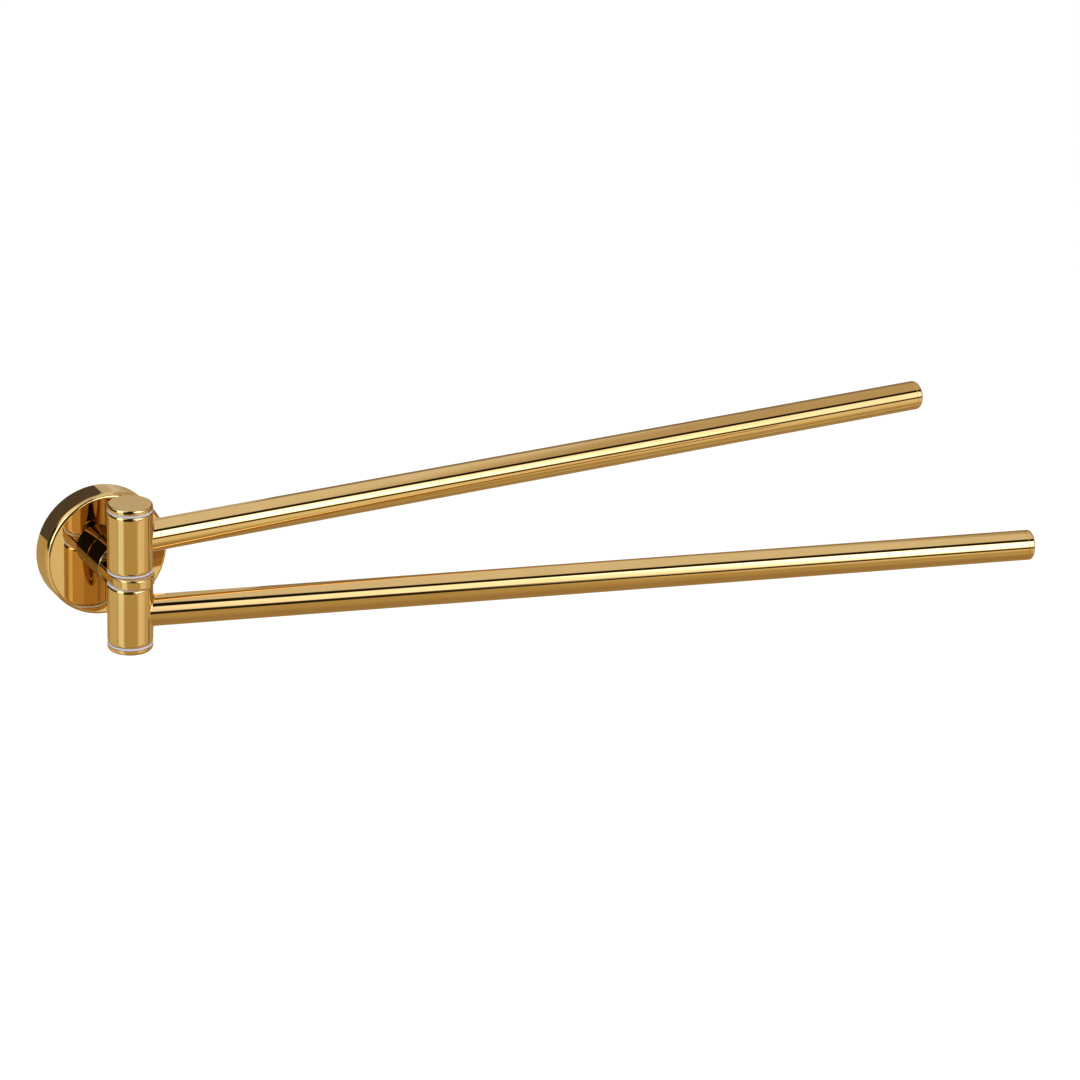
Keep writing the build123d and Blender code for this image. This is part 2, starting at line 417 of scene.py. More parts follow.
class Finishes:
    """All the finishes as materials, made once."""

    def __init__(self) -> None:
        """Build the shared grain and every material."""
        grain = grain_group()
        every = (GOLD, GOLD_NECK_PAINTED_SHADE, GOLD_CAPS, BUSH, BRACKET, SCREW, SPINDLE, PLUG)
        self.by_name = {finish.name: finish.material(grain) for finish in every}

    def of(self, finish: Finish) -> bpy.types.Material:
        """The material of one finish."""
        return self.by_name[finish.name]

    def dress(self, node: str, nodes: dict[str, bpy.types.Object], finish: Finish) -> None:
        """Give a CAD node its finish in every material slot.

        Args:
            node: The node's name.
            nodes: The frame's objects by name.
            finish: The finish that it gets.
        """
        mesh = nodes[node].data
        for index in range(len(mesh.materials)):
            mesh.materials[index] = self.of(finish)
        LOG.info("dressed %s in %s", node, finish.name)


# ---------------------------------------------------------------- turned pieces
@dataclass(frozen=True)
class Corner:
    """One corner of a turned outline, in millimetres from the axis and along it.

    A lead above 1 draws the rounding out along the side before the corner.
    """

    radius: float
    height: float
    rounding: float = 0.0
    lead: float = 1.0


def rounded(before: Vector, at: Vector, after: Vector, radius: float, lead: float) -> list[Vector]:
    """The arc that eases one corner of an outline.

    Args:
        before: The corner before.
        at: The corner to ease.
        after: The corner after.
        radius: The arc's radius.
        lead: How much longer than the radius it runs along the side before, and shorter after.

    Returns:
        Points from the first tangent point to the last.
    """
    back = (before - at).normalized()
    ahead = (after - at).normalized()
    reach = radius / math.tan(back.angle(ahead) / 2)
    points = []
    for step in range(ROUND_STEPS + 1):
        angle = math.pi / 2 * step / ROUND_STEPS
        along = back * reach * lead * (1.0 - math.sin(angle))
        points.append(at + along + ahead * reach / lead * (1.0 - math.cos(angle)))
    return points


def outline_points(corners: list[Corner], closed: bool) -> list[Vector]:
    """The points of a turned outline, with its corners rounded.

    Args:
        corners: The corners in order, up the outside and back down the inside.
        closed: True for a ring, False for a solid whose outline ends on the axis.

    Returns:
        Points of radius and height, in metres.
    """
    flat = [Vector((corner.radius, corner.height)) * MM for corner in corners]
    points: list[Vector] = []
    for index, corner in enumerate(corners):
        if corner.rounding > 0.0 and (closed or 0 < index < len(corners) - 1):
            after = flat[(index + 1) % len(flat)]
            points += rounded(flat[index - 1], flat[index], after, corner.rounding * MM, corner.lead)
        else:
            points.append(flat[index])
    return points


class Lathe:
    """Geometry Nodes tree that turns an outline about the local Z axis."""

    NAME = "LatheTurning"

    def __init__(self) -> None:
        """Build the tree with its named inputs."""
        tree = bpy.data.node_groups.new(self.NAME, "GeometryNodeTree")
        self.tree = tree
        side = tree.interface.new_socket
        side("Outline", in_out="INPUT", socket_type="NodeSocketGeometry")
        side("Steps Around", in_out="INPUT", socket_type="NodeSocketInt")
        side("Closed Outline", in_out="INPUT", socket_type="NodeSocketInt")
        side("Crease Angle", in_out="INPUT", socket_type="NodeSocketFloat")
        side("Merge Distance", in_out="INPUT", socket_type="NodeSocketFloat")
        side("Finish", in_out="INPUT", socket_type="NodeSocketMaterial")
        side("Turned Piece", in_out="OUTPUT", socket_type="NodeSocketGeometry")
        sheet = Sheet(tree)
        given = sheet.node("NodeGroupInput").outputs
        size = sheet.node("GeometryNodeAttributeDomainSize", component="MESH")
        sheet.feed(size.inputs["Geometry"], given["Outline"])
        count = size.outputs["Point Count"]
        rows = sheet.math("ADD", count, given["Closed Outline"])
        grid = sheet.node("GeometryNodeMeshGrid")
        sheet.feed(grid.inputs["Vertices X"], sheet.math("ADD", given["Steps Around"], 1.0))
        sheet.feed(grid.inputs["Vertices Y"], rows)
        keep = sheet.node("GeometryNodeCaptureAttribute", domain="POINT")
        keep.capture_items.new("VECTOR", "Place")
        sheet.feed(keep.inputs["Geometry"], grid.outputs["Mesh"])
        sheet.feed(keep.inputs["Place"], grid.outputs["UV Map"])
        place = sheet.node("ShaderNodeSeparateXYZ")
        sheet.feed(place.inputs[0], keep.outputs["Place"])
        angle = sheet.math("MULTIPLY", place.outputs[0], math.tau)
        last_row = sheet.math("SUBTRACT", rows, 1.0)
        row = sheet.math("ROUND", sheet.math("MULTIPLY", place.outputs[1], last_row))
        sample = sheet.node("GeometryNodeSampleIndex", data_type="FLOAT_VECTOR", domain="POINT")
        sheet.feed(sample.inputs["Geometry"], given["Outline"])
        sheet.feed(sample.inputs["Value"], sheet.node("GeometryNodeInputPosition").outputs[0])
        sheet.feed(sample.inputs["Index"], sheet.math("MODULO", row, count))
        point = sheet.node("ShaderNodeSeparateXYZ")
        sheet.feed(point.inputs[0], sample.outputs["Value"])
        turned = sheet.node("ShaderNodeCombineXYZ")
        radius = point.outputs["X"]
        sheet.feed(turned.inputs["X"], sheet.math("MULTIPLY", radius, sheet.math("COSINE", angle)))
        sheet.feed(turned.inputs["Y"], sheet.math("MULTIPLY", radius, sheet.math("SINE", angle)))
        sheet.feed(turned.inputs["Z"], point.outputs["Z"])
        move = sheet.node("GeometryNodeSetPosition")
        sheet.feed(move.inputs["Geometry"], keep.outputs["Geometry"])
        sheet.feed(move.inputs["Position"], turned.outputs[0])
        merge = sheet.node("GeometryNodeMergeByDistance")
        sheet.feed(merge.inputs["Geometry"], move.outputs["Geometry"])
        sheet.feed(merge.inputs["Distance"], given["Merge Distance"])
        smooth = sheet.node("GeometryNodeSetShadeSmooth", domain="FACE")
        sheet.feed(smooth.inputs["Geometry"], merge.outputs["Geometry"])
        crease = sheet.node("GeometryNodeSetShadeSmooth", domain="EDGE")
        sheet.feed(crease.inputs["Geometry"], smooth.outputs["Geometry"])
        bend = sheet.node("GeometryNodeInputMeshEdgeAngle").outputs["Unsigned Angle"]
        sheet.feed(crease.inputs["Selection"], sheet.math("GREATER_THAN", bend, given["Crease Angle"]))
        crease.inputs["Shade Smooth"].default_value = False
        real = sheet.node("GeometryNodeRealizeInstances")
        sheet.feed(real.inputs["Geometry"], crease.outputs["Geometry"])
        paint = sheet.node("GeometryNodeSetMaterial")
        sheet.feed(paint.inputs["Geometry"], real.outputs["Geometry"])
        sheet.feed(paint.inputs["Material"], given["Finish"])
        sink = sheet.node("NodeGroupOutput")
        sheet.feed(sink.inputs["Turned Piece"], paint.outputs["Geometry"])

    def turn(
        self,
        name: str,
        corners: list[Corner],
        finish: bpy.types.Material,
        place: Matrix,
        closed: bool = False,
        drill: bpy.types.Object | None = None,
    ) -> bpy.types.Object:
        """Turn one piece.

        Args:
            name: The piece's name.
            corners: Its outline.
            finish: Its material.
            place: Where its local axis and origin go, in metres.
            closed: True for a ring, False for a solid.
            drill: A cutter for a hole, in the lathe's own frame; it is used up.

        Returns:
            The piece as a plain mesh at the origin.
        """
        points = outline_points(corners, closed)
        mesh = bpy.data.meshes.new(f"{name}_outline")
        mesh.from_pydata([(point.x, 0.0, point.y) for point in points], [], [])
        draft = bpy.data.objects.new(f"{name}_draft", mesh)
        bpy.context.scene.collection.objects.link(draft)
        lathe = draft.modifiers.new("Lathe", "NODES")
        lathe.node_group = self.tree
        inputs = {
            "Steps Around": LATHE_STEPS,
            "Closed Outline": int(closed),
            "Crease Angle": CREASE,
            "Merge Distance": MERGE_DISTANCE,
            "Finish": finish,
        }
        for item in self.tree.interface.items_tree:
            if item.in_out == "INPUT" and item.name in inputs:
                lathe[item.identifier] = inputs[item.name]
        if drill is not None:
            bore = draft.modifiers.new("Drill", "BOOLEAN")
            bore.operation = "DIFFERENCE"
            bore.solver = "EXACT"
            bore.object = drill
        shade = draft.modifiers.new("Shading", "WEIGHTED_NORMAL")
        shade.weight = 100
        shade.keep_sharp = True
        made = baked(draft, name)
        made.data.transform(place)
        if drill is not None:
            bpy.data.objects.remove(drill)
        return made


def baked(draft: bpy.types.Object, name: str) -> bpy.types.Object:
    """Turn an object with modifiers into a plain mesh piece and remove the draft.

    Args:
        draft: The object with its modifiers.
        name: The finished piece's name.

    Returns:
        The finished piece, linked to the scene.
    """
    graph = bpy.context.evaluated_depsgraph_get()
    mesh = bpy.data.meshes.new_from_object(draft.evaluated_get(graph), depsgraph=graph)
    mesh.name = name
    piece = bpy.data.objects.new(name, mesh)
    bpy.context.scene.collection.objects.link(piece)
    old = draft.data
    bpy.data.objects.remove(draft)
    bpy.data.meshes.remove(old)
    return piece


# ---------------------------------------------------------------- skinned pieces
@dataclass
class Skin:
    """Faces with an exact normal at each corner, for shapes that no lathe can turn."""

    points: list[Vector] = field(default_factory=list)
    faces: list[tuple[int, ...]] = field(default_factory=list)
    normals: list[Vector] = field(default_factory=list)

    def row(self, points: list[Vector]) -> list[int]:
        """Add a row of points.

        Args:
            points: The points in order.

        Returns:
            Their numbers.
        """
        start = len(self.points)
        self.points += points
        return list(range(start, len(self.points)))

    def strip(
        self,
        near: list[int],
        far: list[int],
        near_normals: list[Vector],
        far_normals: list[Vector],
        loop: bool,
    ) -> None:
        """Fill between two rows of points.

        Args:
            near: The first row's numbers.
            far: The second row's numbers.
            near_normals: The surface normals along the first row.
            far_normals: The surface normals along the second row.
            loop: True to close the strip.
        """
        last = len(near) if loop else len(near) - 1
        for index in range(last):
            after = (index + 1) % len(near)
            face = (near[index], near[after], far[after], far[index])
            bends = (near_normals[index], near_normals[after], far_normals[after], far_normals[index])
            self.faces.append(face)
            self.normals += bends

    def piece(self, name: str, finish: bpy.types.Material, place: Matrix) -> bpy.types.Object:
        """Make the mesh object.

        Args:
            name: The piece's name.
            finish: Its material.
            place: Where it goes, in metres.

        Returns:
            The finished piece, linked to the scene.
        """
        mesh = bpy.data.meshes.new(name)
        mesh.from_pydata([point * MM for point in self.points], [], self.faces)
        mesh.materials.append(finish)
        mesh.shade_smooth()
        mesh.normals_split_custom_set(self.normals)
        mesh.transform(place)
        made = bpy.data.objects.new(name, mesh)
        bpy.context.scene.collection.objects.link(made)
        return made


# ---------------------------------------------------------------- sub-assemblies
def along_bar(angle: float) -> Matrix:
    """The turn that lays a lathe's axis along an arm at an angle from the wall."""
    return Matrix.Rotation(math.radians(angle), 4, "Z") @ Matrix.Rotation(math.pi / 2, 4, "Y")


OUT_OF_WALL = Matrix.Rotation(math.pi / 2, 4, "X")
UPSIDE_DOWN = Matrix.Rotation(math.pi, 4, "X")


@dataclass
class Workshop:
    """What every sub-assembly is made with."""

    frame: dict
    finishes: Finishes
    lathe: Lathe

    def seat(self, piece: bpy.types.Object, body: Body, node: str) -> None:
        """Let a piece ride on a body in the place of a CAD node.

        Args:
            piece: The finished piece.
            body: The body that carries it.
            node: The CAD node that it replaces.
        """
        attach(piece, body.value)
        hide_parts(node)
        LOG.info("made %s for %s on %s", piece.name, node, body.value)


@dataclass
class WallFlange:
    """The round flange on the wall, with its steel bracket and screws."""

    diameter: float = 57.0
    depth: float = 12.6
    face: float = 2.6
    rim: float = 2.5
    edge_rounding: float = 2.2
    edge_lead: float = 1.27
    inner_rounding: float = 1.2
    neck_bore: float = 5.0
    grub_diameter: float = 4.0
    grub_level: float = 5.75
    drill_overshoot: float = 1.0

    def corners(self) -> list[Corner]:
        """Draw the cup's outline, from the wall out.

        Returns:
            The corners in order.
        """
        outer = self.diameter / 2
        inner = outer - self.rim
        floor = self.depth - self.face
        return [
            Corner(outer, 0.0),
            Corner(outer, self.depth, self.edge_rounding, self.edge_lead),
            Corner(self.neck_bore, self.depth),
            Corner(self.neck_bore, floor),
            Corner(inner, floor, self.inner_rounding),
            Corner(inner, 0.0),
        ]

    def grub_drill(self) -> bpy.types.Object:
        """Make a round cutter for the grub screw's hole under the rim.

        Returns:
            The cutter, in the lathe's own frame.
        """
        mesh = bpy.data.meshes.new("grub_drill")
        radius = self.grub_diameter / 2
        outer = self.diameter / 2
        points = []
        for height in (outer + self.drill_overshoot, outer - self.rim - self.drill_overshoot):
            for step in range(DRILL_STEPS):
                angle = math.tau * step / DRILL_STEPS
                points.append(Vector((radius * math.cos(angle), radius * math.sin(angle), height)))
        faces = [tuple(range(DRILL_STEPS)), tuple(range(2 * DRILL_STEPS - 1, DRILL_STEPS - 1, -1))]
        for step in range(DRILL_STEPS):
            after = (step + 1) % DRILL_STEPS
            faces.append((after, step, step + DRILL_STEPS, after + DRILL_STEPS))
        mesh.from_pydata([point * MM for point in points], [], faces)
        level = Matrix.Translation((0.0, 0.0, self.grub_level * MM))
        mesh.transform(level @ Matrix.Rotation(math.pi / 2, 4, "X"))
        drill = bpy.data.objects.new("grub_drill", mesh)
        bpy.context.scene.collection.objects.link(drill)
        return drill

    def build(self, shop: Workshop) -> None:
        """Make the flange's cup and dress what it hides.

        Args:
            shop: What it is made with.
        """
        drill = self.grub_drill()
        gold = shop.finishes.of(GOLD)
        cup = shop.lathe.turn("flange_cup", self.corners(), gold, OUT_OF_WALL, True, drill)
        shop.seat(cup, Body.WALL_SIDE, "flange_cover")
        shop.finishes.dress("wall_bracket", shop.frame["nodes"], BRACKET)
        shop.finishes.dress("flange_grub_screw", shop.frame["nodes"], SCREW)


@dataclass
class Neck:
    """The neck with its eye, and the screw and washers that hold it to the flange."""

    def build(self, shop: Workshop) -> None:
        """Dress the neck and its fixings.

        Args:
            shop: What they are dressed with.
        """
        nodes = shop.frame["nodes"]
        # The neck's finish carries painted shade near the wall.
        shop.finishes.dress("neck", nodes, GOLD_NECK_PAINTED_SHADE)
        for node in ("neck_flat_washer", "neck_lock_washer", "neck_screw"):
            shop.finishes.dress(node, nodes, SCREW)


@dataclass
class Column:
    """The spindle's caps, above and below the two barrels."""

    diameter: float = 20.0
    height: float = 2.2
    edge_rounding: float = 1.2
    edge_lead: float = 1.33
    stub_diameter: float = 6.0
    stub_length: float = 8.0
    stub_chamfer: float = 0.5

    def corners(self) -> list[Corner]:
        """Draw a cap's outline, from the tip of its stub up.

        Returns:
            The corners in order.
        """
        stub = self.stub_diameter / 2
        return [
            Corner(0.0, -self.stub_length),
            Corner(stub - self.stub_chamfer, -self.stub_length),
            Corner(stub, self.stub_chamfer - self.stub_length),
            Corner(stub, 0.0),
            Corner(self.diameter / 2, 0.0),
            Corner(self.diameter / 2, self.height, self.edge_rounding, self.edge_lead),
            Corner(0.0, self.height),
        ]

    def build(self, shop: Workshop) -> None:
        """Make both caps and dress the spindle.

        Args:
            shop: What they are made with.
        """
        for node, turn in (("top_cap", Matrix()), ("bottom_cap", UPSIDE_DOWN)):
            low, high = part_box(node)
            middle = (low + high) / 2
            face = high.z - self.height * MM if node == "top_cap" else low.z + self.height * MM
            place = Matrix.Translation((middle.x, middle.y, face)) @ turn
            gold = shop.finishes.of(GOLD_CAPS)
            cap = shop.lathe.turn(f"{node}_turned", self.corners(), gold, place)
            shop.seat(cap, Body.WALL_SIDE, node)
        shop.finishes.dress("pivot_spindle", shop.frame["nodes"], SPINDLE)


@dataclass
class Barrel:
    """A barrel with the filleted boss that its tube seats on.

    Its axis is the local Z axis and the boss points along local X.
    """

    diameter: float = 20.0
    bore: float = 12.0
    bore_chamfer: float = 0.3
    length: float = 27.2
    edge_rounding: float = 1.2
    edge_lead: float = 1.33
    boss_diameter: float = 14.0
    boss_face: float = 11.0
    fillet: float = 0.8
    tapped_diameter: float = 6.1
    tapped_depth: float = 4.4
    patch_half_angle: float = 62.0
    patch_half_height: float = 10.4
    patch_columns: int = 48
    patch_rows: int = 48
    patch_rings: int = 8
    back_columns: int = 176

    def angles(self) -> tuple[list[float], list[float]]:
        """Share out the columns of faces round the barrel.

        Returns:
            The column angles across the boss's patch, and those round the back of it.
        """
        half = math.radians(self.patch_half_angle)
        count = self.patch_columns
        front = [half * (2.0 * step / count - 1.0) for step in range(count + 1)]
        span = math.tau - 2.0 * half
        back = [half + span * step / self.back_columns for step in range(self.back_columns + 1)]
        return front, back

    def touch(self, turn: float) -> tuple[Vector, Vector, Vector]:
        """Where a ball rolling in the corner between barrel and boss stands and touches.

        Args:
            turn: The angle round the boss, from straight up.

        Returns:
            The ball's centre, its point on the barrel and its point on the boss.
        """
        boss = self.boss_diameter / 2
        round_barrel = self.diameter / 2
        across = (boss + self.fillet) * math.sin(turn)
        up = (boss + self.fillet) * math.cos(turn)
        out = math.sqrt((round_barrel + self.fillet) ** 2 - across**2)
        share = round_barrel / (round_barrel + self.fillet)
        on_barrel = Vector((out * share, across * share, up))
        on_boss = Vector((out, boss * math.sin(turn), boss * math.cos(turn)))
        return Vector((out, across, up)), on_barrel, on_boss

    def skin(self) -> Skin:
        """Skin the whole barrel, closed and facing outwards.

        Returns:
            The skin, in millimetres from the barrel's middle.
        """
        skin = Skin()
        front, back = self.angles()
        full = front + back[1:-1]
        radial = [Vector((math.cos(angle), math.sin(angle), 0.0)) for angle in full]
        up = Vector((0.0, 0.0, 1.0))
        half = self.length / 2
        outer = self.diameter / 2

        def ring(radius: float, height: float) -> list[int]:
            """A full ring of points round the axis."""
            return skin.row([way * radius + up * height for way in radial])

        def edge(side: float) -> list[tuple[list[int], list[Vector]]]:
            """Round the edge at one end.

            Args:
                side: 1 for the upper end, -1 for the lower one.

            Returns:
                Rings with their normals, from the wall inwards.
            """
            rings = []
            across = self.edge_rounding / self.edge_lead
            down = self.edge_rounding * self.edge_lead
            for step in range(ROUND_STEPS + 1):
                angle = math.pi / 2 * step / ROUND_STEPS
                cos, sin = math.cos(angle), math.sin(angle)
                bends = [
                    (way * cos / across + up * side * sin / down).normalized() for way in radial
                ]
                radius = outer - across * (1.0 - cos)
                rings.append((ring(radius, side * (half - down * (1.0 - sin))), bends))
            return rings

        top, bottom = edge(1.0), edge(-1.0)
        high, low = ring(outer, self.patch_half_height), ring(outer, -self.patch_half_height)
        mouths = [ring(self.bore / 2 + self.bore_chamfer, side * half) for side in (1.0, -1.0)]
        bores = [ring(self.bore / 2, side * (half - self.bore_chamfer)) for side in (1.0, -1.0)]
        inward = [-way for way in radial]
        led_in = [[(up * side - way).normalized() for way in radial] for side in (1.0, -1.0)]
        skin.strip(high, top[0][0], radial, radial, True)
        skin.strip(bottom[0][0], low, radial, radial, True)
        for (near, near_bends), (far, far_bends) in zip(top, top[1:]):
            skin.strip(near, far, near_bends, far_bends, True)
        for (near, near_bends), (far, far_bends) in zip(bottom, bottom[1:]):
            skin.strip(far, near, far_bends, near_bends, True)
        skin.strip(top[-1][0], mouths[0], [up] * len(full), [up] * len(full), True)
        skin.strip(mouths[0], bores[0], led_in[0], led_in[0], True)
        skin.strip(bores[0], bores[1], inward, inward, True)
        skin.strip(bores[1], mouths[1], led_in[1], led_in[1], True)
        skin.strip(mouths[1], bottom[-1][0], [-up] * len(full), [-up] * len(full), True)
        sides = self.back_rows(skin, back, high, low)
        self.boss(skin, sides, high, low)
        return skin

    def back_rows(
        self, skin: Skin, back: list[float], high: list[int], low: list[int]
    ) -> list[list[int]]:
        """Fill the wall round the back of the boss's patch.

        Args:
            skin: The skin to add to.
            back: The column angles from one side of the patch to the other.
            high: The full ring at the patch's upper edge.
            low: The full ring at its lower edge.

        Returns:
            The rows from the lower edge to the upper one.
        """
        last = self.patch_columns
        ways = [Vector((math.cos(angle), math.sin(angle), 0.0)) for angle in back]
        rows = [low[last:] + low[:1]]
        for step in range(1, self.patch_rows):
            height = self.patch_half_height * (2.0 * step / self.patch_rows - 1.0)
            up = Vector((0.0, 0.0, height))
            rows.append(skin.row([way * self.diameter / 2 + up for way in ways]))
        rows.append(high[last:] + high[:1])
        for near, far in zip(rows, rows[1:]):
            skin.strip(near, far, ways, ways, False)
        return rows

    def boss(self, skin: Skin, rows: list[list[int]], high: list[int], low: list[int]) -> None:
        """Fill the patch, the fillet and the boss with its tapped hole.

        Args:
            skin: The skin to add to.
            rows: The rows round the back, whose ends are the patch's sides.
            high: The full ring at the patch's upper edge.
            low: The full ring at its lower edge.
        """
        count = self.patch_columns
        border = low[: count + 1] + [row[0] for row in rows[1:-1]]
        border += high[count::-1] + [row[-1] for row in rows[-2:0:-1]]
        outer = self.diameter / 2
        spots = []
        for number in border:
            point = skin.points[number]
            spots.append((math.atan2(point.y, point.x), point.z))
        turns = [math.atan2(angle * outer, height) for angle, height in spots]
        balls = [self.touch(turn) for turn in turns]
        near = border
        near_ways = [Vector((math.cos(angle), math.sin(angle), 0.0)) for angle, _ in spots]
        for step in range(1, self.patch_rings + 1):
            share = step / self.patch_rings
            far_points, far_ways = [], []
            for (angle, height), (_, contact, _) in zip(spots, balls):
                goal = math.atan2(contact.y, contact.x)
                turned = angle + (goal - angle) * share
                way = Vector((math.cos(turned), math.sin(turned), 0.0))
                level = height + (contact.z - height) * share
                far_ways.append(way)
                far_points.append(way * outer + Vector((0.0, 0.0, level)))
            far = skin.row(far_points)
            skin.strip(near, far, near_ways, far_ways, True)
            near, near_ways = far, far_ways
        for step in range(1, ROUND_STEPS + 1):
            share = step / ROUND_STEPS
            far_points, far_ways = [], []
            for centre, on_barrel, on_boss in balls:
                way = (centre - on_barrel).normalized()
                way = way.slerp((centre - on_boss).normalized(), share)
                far_ways.append(way)
                far_points.append(centre - way * self.fillet)
            far = skin.row(far_points)
            skin.strip(near, far, near_ways, far_ways, True)
            near, near_ways = far, far_ways
        rounds = [Vector((0.0, math.sin(turn), math.cos(turn))) for turn in turns]
        ahead = Vector((1.0, 0.0, 0.0))
        tapped = self.tapped_diameter / 2
        rim = skin.row([way * self.boss_diameter / 2 + ahead * self.boss_face for way in rounds])
        mouth = skin.row([way * tapped + ahead * self.boss_face for way in rounds])
        blind = skin.row([way * tapped + ahead * (self.boss_face - self.tapped_depth) for way in rounds])
        flat = [ahead] * len(rounds)
        inward = [-way for way in rounds]
        skin.strip(near, rim, near_ways, rounds, True)
        skin.strip(rim, mouth, flat, flat, True)
        skin.strip(mouth, blind, inward, inward, True)
        skin.faces.append(tuple(blind))
        skin.normals += flat


@dataclass
class SwingArm:
    """One swinging arm: barrel, tube, end cap and the two bushes.

    The angle is the arm's own at rest, from +X towards the wall.  The bush_relief keeps each
    bush just off the face that it runs on, so that nothing rubs as the arm swings.
    """

    body: Body
    prefix: str
    angle: float
    diameter: float = 14.0
    wall: float = 1.0
    reach: float = 422.5
    start: float = 11.0
    start_edge: float = 0.02
    end_edge: float = 0.15
    cap_length: float = 3.2
    cap_rounding: float = 1.2
    cap_joint: float = 0.2
    spigot_length: float = 8.0
    spigot_wall: float = 1.2
    spigot_clearance: float = 0.05
    bush_bore: float = 8.1
    bush_sleeve: float = 8.0
    bush_sleeve_chamfer: float = 0.4
    bush_flange: float = 1.05
    bush_inset: float = 0.1
    bush_edge: float = 0.35
    bush_relief: float = 0.01
    barrel: Barrel = field(default_factory=Barrel)

    def pivot(self) -> Matrix:
        """Find the barrel's middle on the spindle.

        Returns:
            The place of the barrel, not yet turned.
        """
        low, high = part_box(f"{self.prefix}_barrel")
        spindle_low, spindle_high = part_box("pivot_spindle")
        axis = (spindle_low + spindle_high) / 2
        return Matrix.Translation((axis.x, axis.y, (low.z + high.z) / 2))

    def tube_corners(self) -> list[Corner]:
        """Draw the tube's outline along the arm.

        Returns:
            The corners in order.
        """
        outer = self.diameter / 2
        inner = outer - self.wall
        end = self.reach - self.cap_length
        return [
            Corner(outer - self.start_edge, self.start),
            Corner(outer, self.start + self.start_edge),
            Corner(outer, end - self.end_edge),
            Corner(outer - self.end_edge, end),
            Corner(inner, end),
            Corner(inner, self.start),
        ]

    def cap_corners(self) -> list[Corner]:
        """Draw the end cap's outline along the arm, with its hollow spigot.

        Returns:
            The corners in order.
        """
        outer = self.diameter / 2
        spigot = outer - self.wall - self.spigot_clearance
        joint = self.reach - self.cap_length
        return [
            Corner(0.0, joint),
            Corner(spigot - self.spigot_wall, joint),
            Corner(spigot - self.spigot_wall, joint - self.spigot_length),
            Corner(spigot, joint - self.spigot_length),
            Corner(spigot, joint),
            Corner(outer, joint, self.cap_joint),
            Corner(outer, self.reach, self.cap_rounding),
            Corner(0.0, self.reach),
        ]

    def bush_corners(self) -> list[Corner]:
        """Draw a bush's outline, from the foot of its sleeve up to its running face.

        Returns:
            The corners in order.
        """
        bore = self.bush_bore / 2
        top = self.bush_flange - self.bush_relief
        sleeve = self.barrel.bore / 2
        rim = self.barrel.diameter / 2 - self.bush_inset
        return [
            Corner(sleeve - self.bush_sleeve_chamfer, -self.bush_sleeve),
            Corner(sleeve, self.bush_sleeve_chamfer - self.bush_sleeve),
            Corner(sleeve, 0.0),
            Corner(rim, 0.0, self.bush_edge),
            Corner(rim, top, self.bush_edge),
            Corner(bore, top),
            Corner(bore, -self.bush_sleeve),
        ]

    def build(self, shop: Workshop) -> None:
        """Make the arm's pieces and dress its hidden ones.

        Args:
            shop: What they are made with.
        """
        pivot = self.pivot()
        swung = pivot @ Matrix.Rotation(math.radians(self.angle), 4, "Z")
        lying = pivot @ along_bar(self.angle)
        gold, plastic = shop.finishes.of(GOLD), shop.finishes.of(BUSH)
        turn = shop.lathe.turn
        barrel = self.barrel.skin().piece(f"{self.prefix}_barrel_skin", gold, swung)
        shop.seat(barrel, self.body, f"{self.prefix}_barrel")
        tube = turn(f"{self.prefix}_tube", self.tube_corners(), gold, lying, True)
        shop.seat(tube, self.body, f"{self.prefix}_arm_tube")
        cap = turn(f"{self.prefix}_end_cap", self.cap_corners(), shop.finishes.of(GOLD_CAPS), lying)
        shop.seat(cap, self.body, f"{self.prefix}_arm_end_cap")
        for end, side, flip in (("top", 1.0, Matrix()), ("bottom", -1.0, UPSIDE_DOWN)):
            end_face = Matrix.Translation((0.0, 0.0, side * self.barrel.length / 2 * MM))
            place = pivot @ end_face @ flip
            bush = turn(f"{self.prefix}_{end}_bush", self.bush_corners(), plastic, place, True)
            shop.seat(bush, self.body, f"{self.prefix}_barrel_{end}_bush")
        shop.finishes.dress(f"{self.prefix}_arm_plug", shop.frame["nodes"], PLUG)
        shop.finishes.dress(f"{self.prefix}_arm_stud", shop.frame["nodes"], SCREW)


# ---------------------------------------------------------------- studio
MATT_ROUGHNESS = 0.9


@dataclass(frozen=True)
class Viewpoint:
    """The camera: where it stands from the pivot, and where the pivot lands in the frame."""

    azimuth: float = -22.15
    elevation: float = 22.82
    roll: float = -0.26
    distance: float = 1.62
    focal_pixels: float = 3715.0
    frame_pixels: float = 1080.0
    pivot_pixel: tuple[float, float] = (130.1, 575.6)
    sensor_width: float = 36.0

    def build(self, pivot: Vector) -> None:
        """Place the camera.

        Args:
            pivot: The point on the spindle's axis that the camera is aimed from.
        """
        azimuth, elevation = math.radians(self.azimuth), math.radians(self.elevation)
        level = Vector((math.sin(azimuth), -math.cos(azimuth), 0.0))
        back = level * math.cos(elevation) + Vector((0.0, 0.0, math.sin(elevation)))
        right = Vector((math.cos(azimuth), math.sin(azimuth), 0.0))
        facing = Matrix((right, right.cross(back), -back))
        middle = self.frame_pixels / 2
        across, down = (pixel - middle for pixel in self.pivot_pixel)
        aim = Vector((across / self.focal_pixels, down / self.focal_pixels, 1.0)).normalized()
        pan = Vector((0.0, 0.0, 1.0)).rotation_difference(aim).to_matrix()
        rows = pan @ Matrix.Rotation(math.radians(self.roll), 3, "Z") @ facing
        data = bpy.data.cameras.new("camera")
        data.sensor_width = self.sensor_width
        data.lens = self.sensor_width * self.focal_pixels / self.frame_pixels
        camera = bpy.data.objects.new("camera", data)
        bpy.context.scene.collection.objects.link(camera)
        place = Matrix((rows[0], -rows[1], -rows[2])).transposed().to_4x4()
        place.translation = pivot + back * self.distance
        camera.matrix_world = place
        bpy.context.scene.camera = camera


